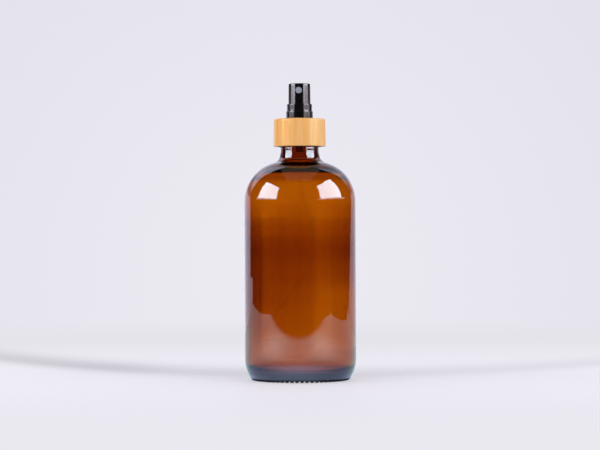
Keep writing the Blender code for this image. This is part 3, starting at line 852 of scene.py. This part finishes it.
def reflected(tree):
    """1 on a ray that a glossy surface has just thrown back, and 0 on one that went through glass."""
    rays = tree.nodes.new("ShaderNodeLightPath")
    both = tree.nodes.new("ShaderNodeMath")
    both.operation = "MULTIPLY"
    tree.links.new(rays.outputs["Is Glossy Ray"], both.inputs[0])
    tree.links.new(rays.outputs["Is Reflection Ray"], both.inputs[1])
    return both.outputs[0]


def panel(name, corners, colour, pattern):
    """A glowing sheet that only reflections see, such as a window or the white table's far stretch.
    pattern is its brightness, or a function of its look and x, y, z that gives one."""
    mesh = bpy.data.meshes.new(name)
    mesh.from_pydata(corners, [], [tuple(range(len(corners)))])
    look = Look(name)
    place = look.add("ShaderNodeSeparateXYZ", {0: look.place})
    strength = pattern(look, *place.outputs) if callable(pattern) else pattern
    glow = look.add("ShaderNodeEmission", {"Color": (*colour, 1.0), "Strength": strength})
    clear = look.add("ShaderNodeBsdfTransparent")
    seen = reflected(look.tree)
    mixed = look.add("ShaderNodeMixShader", {0: seen, 1: clear.outputs[0], 2: glow.outputs[0]})
    look.tree.links.new(mixed.outputs[0], look.output.inputs["Surface"])
    mesh.materials.append(look.material)
    obj = bpy.data.objects.new(name, mesh)
    bpy.context.scene.collection.objects.link(obj)
    for ray in ("camera", "diffuse", "transmission", "volume_scatter", "shadow"):
        setattr(obj, "visible_" + ray, False)


def upright(x, y, bottom, tops):
    """Corners of an upright sheet at side x, from y[0] to y[1], with its own top at each end."""
    return [(x, y[0], bottom), (x, y[1], bottom), (x, y[1], tops[1]), (x, y[0], tops[0])]


def level(x, y, z):
    """Corners of a level sheet at height z that spans x and y."""
    return [(x[0], y[0], z), (x[1], y[0], z), (x[1], y[1], z), (x[0], y[1], z)]


def lit_table(look, x, y, z):
    """Painted light on the table top's reflection: brightest below the two windows, dimmer to the back,
    with a painted shadow under the bottle.
    """
    pool = bell(look, look.math("ABSOLUTE", x), y, (0.36, -0.30), (0.20, 0.26))
    edge = look.spread(y, -TABLE_FRONT, 0.16 - TABLE_FRONT)
    middle = look.spread(y, -0.45, 0.0, 1.5, 0.95)
    total = look.math("MULTIPLY_ADD", pool, 1.9, middle)
    return look.math("MULTIPLY", look.math("MULTIPLY", total, edge), beyond_base(look))


def lit_foot(look, x, y, z):
    """Painted light on the table just before the bottle: a painted pool of light, and a painted shadow
    where the bottle stands on it.
    """
    # painted pool of light just before the bottle
    near = bell(look, x, y, (0.0, -0.055), (0.045, 0.030))
    return look.math("MULTIPLY", look.math("MULTIPLY_ADD", near, 1.8, 1.1), beyond_base(look))


def beyond_base(look):
    """Mask of the painted shadow under the bottle: 0 under the bottle and 1 outside its base."""
    away = look.add("ShaderNodeVectorMath", {0: look.place}, operation="LENGTH").outputs["Value"]
    return look.spread(away, 0.033, 0.036)


def bell(look, x, y, centre, width):
    """A soft round pool: 1 at its centre, falling away over its width."""
    across = look.math("DIVIDE", look.math("SUBTRACT", x, centre[0]), width[0])
    ahead = look.math("DIVIDE", look.math("SUBTRACT", y, centre[1]), width[1])
    square = look.math("MULTIPLY_ADD", across, across, look.math("MULTIPLY", ahead, ahead))
    return look.math("EXPONENT", look.math("MULTIPLY", square, -1.0))


def lit_backdrop(look, x, y, z):
    """Behind the bottle the backdrop dims upwards. Beside it, it is lit near the table and high up."""
    behind = look.spread(z, 0.35, 0.80, 1.0, 0.55)
    low = look.spread(z, 0.20, 0.27, 1.0, 0.22)
    high = look.spread(z, 0.33, 0.55, 0.0, 1.25)
    beside = look.spread(look.math("ABSOLUTE", x), 0.28, 0.42)
    swing = look.math("MULTIPLY", beside, look.math("SUBTRACT", look.math("ADD", low, high), behind))
    return look.math("MULTIPLY", look.math("ADD", behind, swing), look.spread(x, -0.3, 0.3, 1.25, 0.90))


def make_reflections():
    """What the glass and the gloss mirror: two windows with the pale sills below them, the table,
    the table just before the bottle, the ceiling and the backdrop."""
    left, right = -WINDOW_SIDE, WINDOW_SIDE
    panel("window_left", upright(left, (-2.03, 0.02), 0.375, (2.05, 1.80)), SKY, WINDOW_LIGHT)
    panel("window_right", upright(right, (-1.865, 0.36), 0.38, (2.35, 2.25)), SKY, WINDOW_LIGHT)
    panel("apron_left", upright(left, (-1.585, 0.25), 0.275, (0.37, 0.37)), WHITE, APRON_LIGHT)
    panel("apron_right", upright(right, (-2.43, 0.66), 0.275, (0.375, 0.375)), WHITE, APRON_LIGHT)
    table = [(x, y, -TABLE_DROP) for x, y in TABLE_EDGE]
    panel("table_shine", table, (0.77, 1.02, 1.14), lit_table)
    foot = level((-0.11, 0.11), (-0.13, 0.0), -FOOT_DROP)
    panel("foot_shine", foot, (0.74, 0.88, 1.32), lit_foot)
    panel("ceiling", level((-0.9, 0.9), (-1.25, 0.9), 2.3), (1.0, 0.80, 0.58), 0.45)
    back = [(x, TABLE_BACK, z) for x, z in BACKDROP_EDGE]
    panel("backdrop_shine", back, (0.95, 0.92, 1.12), lit_backdrop)


def make_floor():
    """A pale floor that keeps the soft shadow near the bottle and runs out into the backdrop's tone.
    Painted shade darkens a faint band that bends round behind the bottle, where the sheet would lift
    off the table, and is deeper on the left. Painted light makes the floor lighter just before the
    bottle and darker towards the back, in its colour and its glow."""
    floor = lathe("floor", [(0.0, 0.0), (4.0, 0.0)], 96)
    floor.location.z = -FLOOR_DROP
    look = Look("floor")
    place = look.add("ShaderNodeSeparateXYZ", {0: look.place})
    x, y = place.outputs["X"], place.outputs["Y"]
    away = look.add("ShaderNodeVectorMath", {0: look.place}, operation="LENGTH").outputs["Value"]
    # painted shade: a band along this line, deeper on the left and fading away from the bottle
    line = look.math("MULTIPLY_ADD", look.math("MULTIPLY", x, x), CREASE_BEND, CREASE_NEAR)
    off = look.math("SUBTRACT", y, line)
    width = look.spread(off, -0.02, 0.02, 0.045, 0.075)
    off = look.math("DIVIDE", off, width)
    crease_shade = look.math("EXPONENT", look.math("MULTIPLY", look.math("MULTIPLY", off, off), -1.0))
    crease_shade_depth = look.spread(x, -0.16, -0.08, 0.32, 0.20)
    crease_shade_depth = look.math("MULTIPLY", crease_shade_depth, look.spread(x, -0.04, 0.12, 1.0, 0.6))
    crease_shade_depth = look.math("MULTIPLY", crease_shade_depth, look.spread(away, 0.1, 0.6, 1.0, 0.5))
    tone = look.math("SUBTRACT", 1.0, look.math("MULTIPLY", crease_shade, crease_shade_depth))
    fine = look.noise(look.place, 800.0, 2.0)
    tone = look.math("MULTIPLY", tone, look.spread(fine, 0.2, 0.8, 0.995, 1.005))
    # painted light: the floor is lighter just before the bottle and darker towards the back
    tone = look.math("MULTIPLY", tone, look.spread(y, -0.30, -0.06, 0.98, 1.03))
    tone = look.math("MULTIPLY", tone, look.spread(y, 0.10, 0.55, 1.0, 0.90))
    look.set(Base_Color=look.mix(1.0, (0.92, 0.905, 0.93), look.grey(tone), "MULTIPLY"))
    look.set(Roughness=0.6, Specular_IOR_Level=0.1)
    glow = look.add("ShaderNodeEmission", {"Color": (*PALE_MIDDLE, 1.0), "Strength": tone})
    glowing = look.spread(away, 0.15, 0.45, FLOOR_GLOW, 1.0)
    lit = look.add("ShaderNodeMixShader", {0: glowing, 1: look.shader.outputs[0], 2: glow.outputs[0]})
    clear = look.add("ShaderNodeBsdfTransparent")
    share = look.spread(away, 0.45, 1.10)
    mixed = look.add("ShaderNodeMixShader", {0: share, 1: lit.outputs[0], 2: clear.outputs[0]})
    look.tree.links.new(mixed.outputs[0], look.output.inputs["Surface"])
    floor.data.materials.append(look.material)
    floor.visible_glossy = False


def make_world():
    """Pale all round for what is seen and lit directly, a little lighter where the backdrop's middle
    stands, and a dark room for reflections."""
    world = bpy.data.worlds.new("studio")
    world.use_nodes = True
    tree = world.node_tree
    tree.nodes.clear()

    def node(kind, **settings):
        made = tree.nodes.new(kind)
        for key, value in settings.items():
            setattr(made, key, value)
        return made

    facing = node("ShaderNodeVectorMath", operation="DOT_PRODUCT")
    facing.inputs[1].default_value = BACKDROP_MIDDLE
    tree.links.new(node("ShaderNodeTexCoord").outputs["Generated"], facing.inputs[0])
    angle = node("ShaderNodeMath", operation="ARCCOSINE")
    tree.links.new(facing.outputs["Value"], angle.inputs[0])
    middle = node("ShaderNodeMapRange")
    for socket, value in zip(middle.inputs[1:5], (0.0, BACKDROP_SPREAD, 1.0, 0.0)):
        socket.default_value = value
    tree.links.new(angle.outputs[0], middle.inputs["Value"])
    tone = node("ShaderNodeMix", data_type="RGBA")
    tree.links.new(middle.outputs[0], tone.inputs["Factor"])
    tone.inputs["A"].default_value = (*PALE, 1.0)
    tone.inputs["B"].default_value = (*PALE_MIDDLE, 1.0)
    pale = node("ShaderNodeBackground")
    tree.links.new(tone.outputs["Result"], pale.inputs["Color"])
    room = node("ShaderNodeBackground")
    room.inputs["Color"].default_value = (0.012, 0.011, 0.014, 1.0)
    mixed = node("ShaderNodeMixShader")
    tree.links.new(reflected(tree), mixed.inputs[0])
    tree.links.new(pale.outputs[0], mixed.inputs[1])
    tree.links.new(room.outputs[0], mixed.inputs[2])
    tree.links.new(mixed.outputs[0], node("ShaderNodeOutputWorld").inputs["Surface"])
    bpy.context.scene.world = world


def lamp(name, place, size, power):
    """A soft lamp that lights the matt surfaces and shows in no reflection."""
    data = bpy.data.lights.new(name, "AREA")
    data.shape = "RECTANGLE"
    data.size, data.size_y = size
    data.energy = power
    obj = bpy.data.objects.new(name, data)
    obj.location = place
    obj.rotation_euler = (Vector((0, 0, 0.1)) - Vector(place)).to_track_quat("-Z", "Y").to_euler()
    obj.visible_camera = False
    obj.visible_glossy = False
    obj.visible_transmission = False
    bpy.context.scene.collection.objects.link(obj)


def make_camera():
    """A camera whose view is level before its slight roll."""
    data = bpy.data.cameras.new("camera")
    data.lens = CAMERA_LENS
    data.sensor_width = 36.0
    data.clip_start = 0.05
    camera = bpy.data.objects.new("camera", data)
    turn = Matrix.Rotation(CAMERA_TURN, 4, "Z")
    place = turn @ Vector((0.0, -CAMERA_DISTANCE, CAMERA_HEIGHT))
    look_ahead = Matrix.Rotation(math.radians(90), 4, "X")
    roll = Matrix.Rotation(CAMERA_ROLL, 4, "Z")
    camera.matrix_world = Matrix.Translation(place) @ turn @ look_ahead @ roll
    bpy.context.scene.collection.objects.link(camera)
    bpy.context.scene.camera = camera


def main():
    milky_dark, milky_light = (0.70, 0.69, 0.64), (0.80, 0.79, 0.75)
    materials = {
        "amber_glass": amber_glass(),
        "bamboo": bamboo(),
        "black_plastic": black_plastic(),
        "grey_plastic": plain_plastic("grey_plastic", (0.27, 0.29, 0.35), (0.34, 0.36, 0.43), 0.30),
        "natural_plastic": plain_plastic("natural_plastic", milky_dark, milky_light, 0.30, 0.5),
        "foam": plain_plastic("foam", (0.78, 0.78, 0.76), (0.88, 0.88, 0.86), 0.8),
        "rubber": plain_plastic("rubber", (0.02, 0.02, 0.02), (0.04, 0.04, 0.04), 0.7),
        "steel": steel(),
    }
    make_camera()
    dress_nodes(materials)
    make_bottle(materials["amber_glass"])
    make_collar(materials["bamboo"])
    make_closure(materials["black_plastic"])
    make_button(materials["black_plastic"])
    make_insert(materials["grey_plastic"])
    make_tube(clear_tube())
    make_springs(materials["steel"])
    make_floor()
    make_world()
    make_reflections()
    lamp("key_right", place=(1.6, -0.9, 1.1), size=(1.4, 1.4), power=7.0)
    lamp("fill_left", place=(-1.6, -0.8, 1.0), size=(1.4, 1.4), power=6.5)
    bpy.context.scene.view_settings.view_transform = "Standard"


main()
